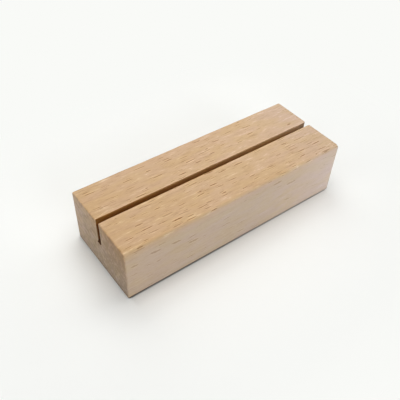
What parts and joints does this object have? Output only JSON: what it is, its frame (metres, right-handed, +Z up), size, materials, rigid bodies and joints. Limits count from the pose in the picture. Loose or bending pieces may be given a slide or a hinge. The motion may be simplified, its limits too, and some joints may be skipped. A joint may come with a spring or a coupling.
{
  "type": "photo block holder",
  "caption": "Rectangular beech block with a narrow saw slot along the whole of its top, in which a photo print, card or thin board stands upright.",
  "frame": {"origin": "middle of the underside, on the surface that the block stands on", "axes": "+X along the slot and the grain, +Y across the block towards its back, +Z up out of the slot"},
  "size_m": [0.1, 0.036, 0.024],
  "materials": {
    "beech": "sanded, with no visible film of lacquer"
  },
  "bodies": {
    "root": {"slotted_block": "beech"}
  },
  "joints": []
}
